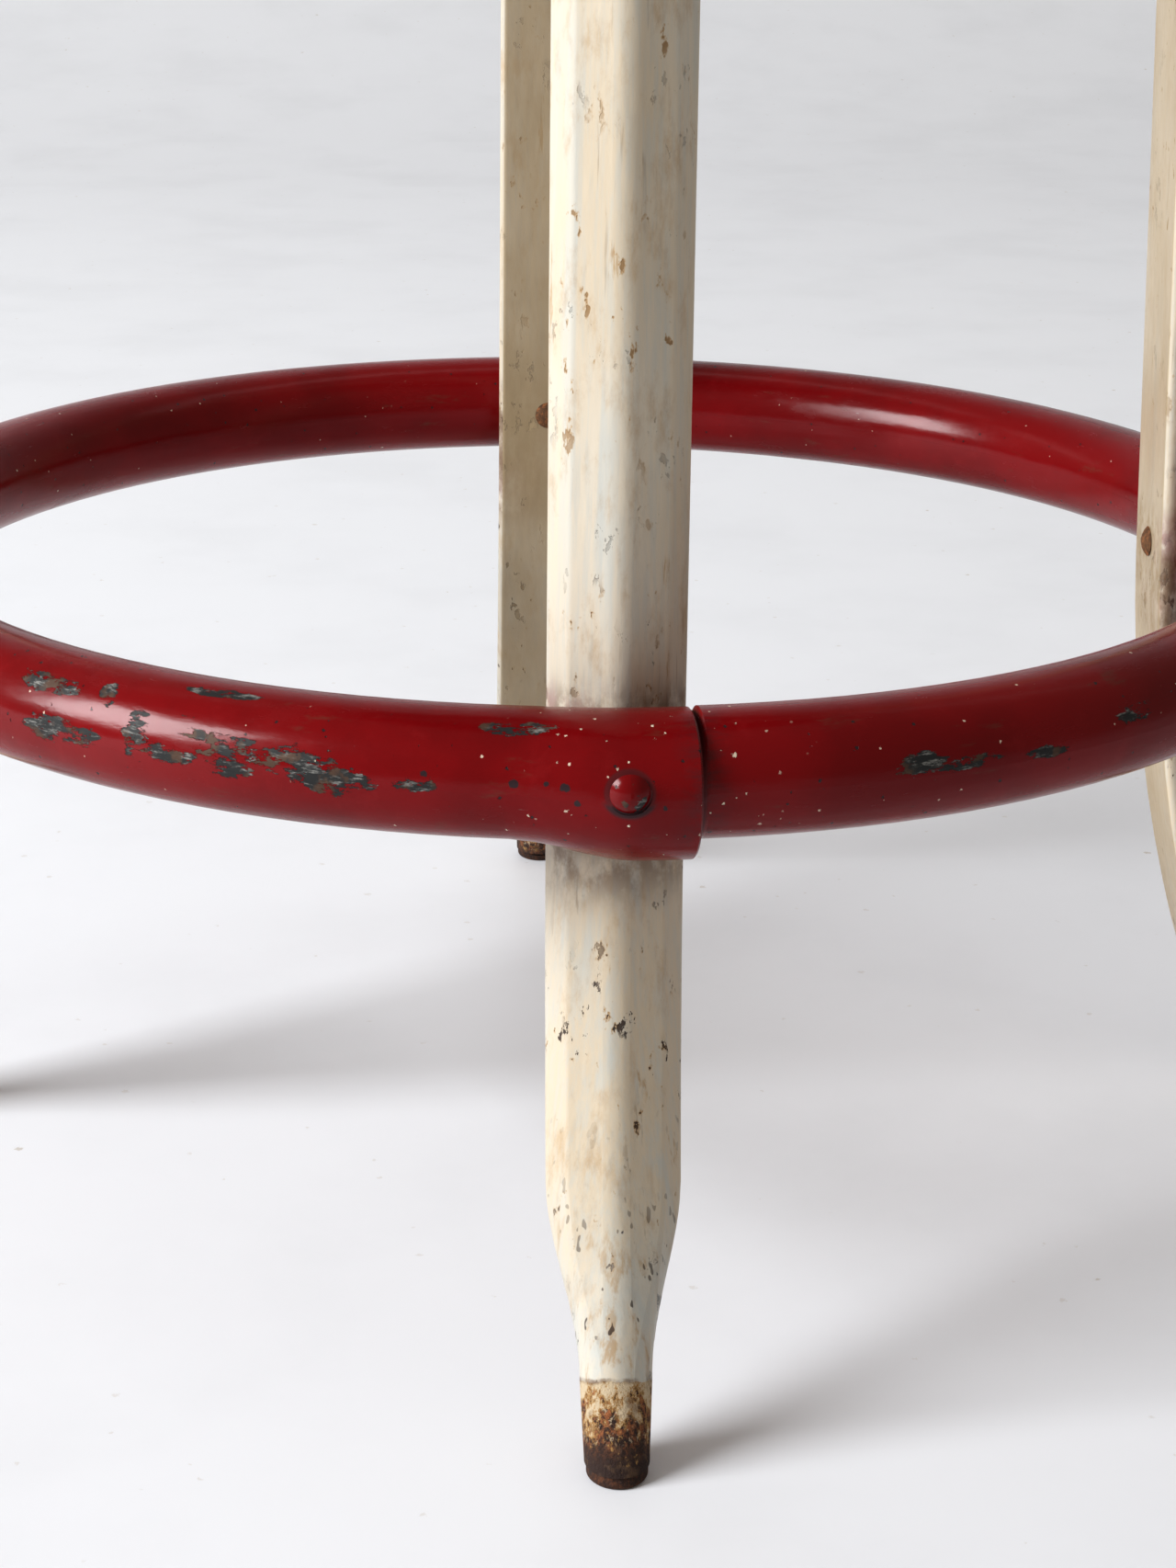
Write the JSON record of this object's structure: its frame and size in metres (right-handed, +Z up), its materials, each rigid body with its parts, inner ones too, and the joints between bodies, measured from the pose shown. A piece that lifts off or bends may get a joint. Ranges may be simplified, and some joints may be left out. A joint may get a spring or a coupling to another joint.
{
  "type": "bar stool",
  "caption": "Bar stool with pressed-steel legs arching to a riveted hub, a tubular footrest ring and a revolving pressed pan seat.",
  "frame": {"origin": "on the floor, directly under the seat's swivel axis", "axes": "+Z up along the swivel axis; the front leg, where the ring's ends telescope, stands on -Y; +X to the stool's right leg"},
  "size_m": [0.3666, 0.3666, 0.61],
  "materials": {
    "leg_enamel": "aged glossy cream enamel",
    "foot_steel": "rusty steel",
    "ring_enamel": "chipped glossy red enamel",
    "ring_rivet_enamel": "red enamel worn on the dome",
    "hub_enamel": "aged cream enamel",
    "hub_rivet_steel": "aged cream enamel",
    "pivot_steel": "dull zinc-plated steel",
    "race_steel": "oily stamped steel",
    "ball_steel": "polished hardened steel",
    "cage_brass": "dull stamped brass",
    "bracket_enamel": "red enamel",
    "seat_enamel": "worn glossy red enamel",
    "seat_rivet_enamel": "red enamel worn on the head"
  },
  "bodies": {
    "base": {"leg_front": "leg_enamel", "leg_right": "leg_enamel", "leg_back": "leg_enamel", "leg_left": "leg_enamel", "foot_plug_front": "foot_steel", "foot_plug_right": "foot_steel", "foot_plug_back": "foot_steel", "foot_plug_left": "foot_steel", "footrest_ring": "ring_enamel", "ring_rivets": "ring_rivet_enamel", "hub_lower_plate": "hub_enamel", "hub_upper_plate": "hub_enamel", "hub_rivets": "hub_rivet_steel", "pivot_bushing": "pivot_steel", "pivot_bolt": "pivot_steel", "top_washer": "pivot_steel", "bottom_washer": "pivot_steel", "pivot_nut": "pivot_steel", "lower_race": "race_steel"},
    "bearing_cage": {"bearing_balls": "ball_steel", "ball_cage": "cage_brass"},
    "seat": {"upper_race": "race_steel", "seat_bracket": "bracket_enamel", "seat_pan": "seat_enamel", "seat_rivets": "seat_rivet_enamel"}
  },
  "joints": [
    {"name": "seat_swivel", "type": "hinge", "parent": "base", "child": "seat", "pos_m": [0, 0, 0.585], "axis": [0, 0, 1], "continuous": true},
    {"name": "cage_spin", "type": "hinge", "parent": "base", "child": "bearing_cage", "pos_m": [0, 0, 0.579], "axis": [0, 0, 1], "continuous": true}
  ],
  "couplings": [
    {"joint": "cage_spin", "follows": "seat_swivel", "ratio": 0.5}
  ]
}
